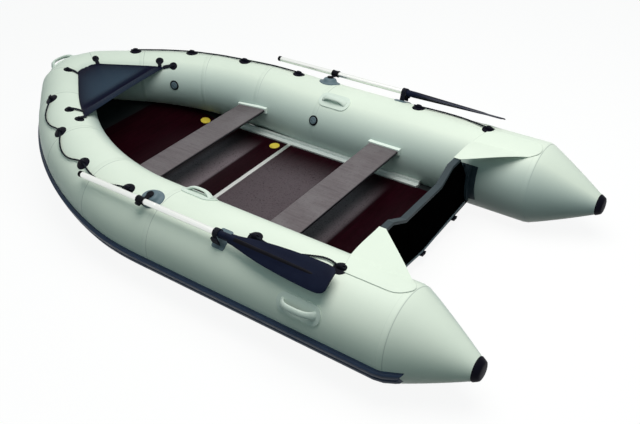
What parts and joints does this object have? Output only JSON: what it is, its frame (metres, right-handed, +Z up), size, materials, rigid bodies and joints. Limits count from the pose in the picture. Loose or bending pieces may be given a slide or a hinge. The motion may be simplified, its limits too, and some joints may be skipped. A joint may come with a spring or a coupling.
{
  "type": "inflatable boat",
  "caption": "Open inflatable boat with tapered stern cones, raised blunt bow, plank seats, plywood floor, transom for an outboard motor and stowed swinging oars.",
  "frame": {"origin": "middle of the footprint, on the surface the tubes stand on", "axes": "+X towards the bow, +Y to port, +Z up"},
  "size_m": [3.3362, 1.8566, 0.5543],
  "materials": {
    "tube_fabric": "coated fabric, semi-gloss, pale grey",
    "strake_rubber": "ribbed navy rubbing strake",
    "black_rubber": "black moulded rubber",
    "bottom_fabric": "grey coated bottom fabric",
    "film_plywood": "dark film-faced plywood",
    "seat_plywood": "taupe film-faced plywood with dark edges",
    "transom_plywood": "black painted marine plywood",
    "grey_edging": "grey plastic edging",
    "aluminium": "extruded aluminium",
    "white_plastic": "white moulded plastic",
    "yellow_plastic": "yellow plastic plug",
    "slate_rubber": "slate grey moulded rubber",
    "pale_rubber": "pale grey moulded handle",
    "black_plastic": "black moulded plastic",
    "blade_plastic": "navy moulded plastic",
    "navy_fabric": "navy coated cloth",
    "rope": "braided black rope",
    "webbing": "black webbing"
  },
  "bodies": {
    "hull": {"bottom_rails": "black_rubber", "bottom_skin": "bottom_fabric", "bow_dodger": "navy_fabric", "bow_nose": "tube_fabric", "bow_quarter_port": "tube_fabric", "bow_quarter_starboard": "tube_fabric", "cone_caps": "black_rubber", "dodger_ties": "black_rubber", "floor_joiners": "aluminium", "floor_plugs": "yellow_plastic", "floorboard_aft": "film_plywood", "floorboard_bow": "film_plywood", "floorboard_fore": "film_plywood", "floorboard_mid": "film_plywood", "gusset_port": "tube_fabric", "gusset_starboard": "tube_fabric", "handle_bow": "pale_rubber", "handle_side_port": "pale_rubber", "handle_side_starboard": "pale_rubber", "handle_stern_port": "pale_rubber", "handle_stern_starboard": "pale_rubber", "keeper_pads": "grey_edging", "keeper_strap_port": "webbing", "keeper_strap_starboard": "webbing", "lifeline_aft_port": "rope", "lifeline_aft_starboard": "rope", "lifeline_eyes_port": "black_rubber", "lifeline_eyes_starboard": "black_rubber", "lifeline_fore_port": "rope", "lifeline_fore_starboard": "rope", "motor_pad_aft": "black_plastic", "motor_pad_fore": "black_plastic", "oarlock_base_port": "slate_rubber", "oarlock_base_starboard": "slate_rubber", "seat_aft": "seat_plywood", "seat_aft_brackets": "white_plastic", "seat_fore": "seat_plywood", "seat_fore_brackets": "white_plastic", "strake_port": "strake_rubber", "strake_starboard": "strake_rubber", "stringer_port": "aluminium", "stringer_starboard": "aluminium", "tow_eye": "black_rubber", "transom_board": "transom_plywood", "transom_edging": "grey_edging", "transom_holders": "black_rubber", "tube_port": "tube_fabric", "tube_starboard": "tube_fabric", "valves": "black_plastic"},
    "oar_port": {"oarlock_swivel_port": "black_plastic", "oar_shaft_port": "aluminium", "oar_grip_port": "black_plastic", "oar_blade_port": "blade_plastic"},
    "oar_starboard": {"oarlock_swivel_starboard": "black_plastic", "oar_shaft_starboard": "aluminium", "oar_grip_starboard": "black_plastic", "oar_blade_starboard": "blade_plastic"}
  },
  "joints": [
    {"name": "port_oar_sweep", "type": "hinge", "parent": "hull", "child": "oar_port", "pos_m": [0.06391, 0.74248, 0.43094], "axis": [0, -0.284, -0.9588], "range_deg": [0, 130], "deforming": ["keeper_strap_port"]},
    {"name": "starboard_oar_sweep", "type": "hinge", "parent": "hull", "child": "oar_starboard", "pos_m": [0.06391, -0.74248, 0.43094], "axis": [0, -0.284, 0.9588], "range_deg": [0, 130], "deforming": ["keeper_strap_starboard"]}
  ]
}
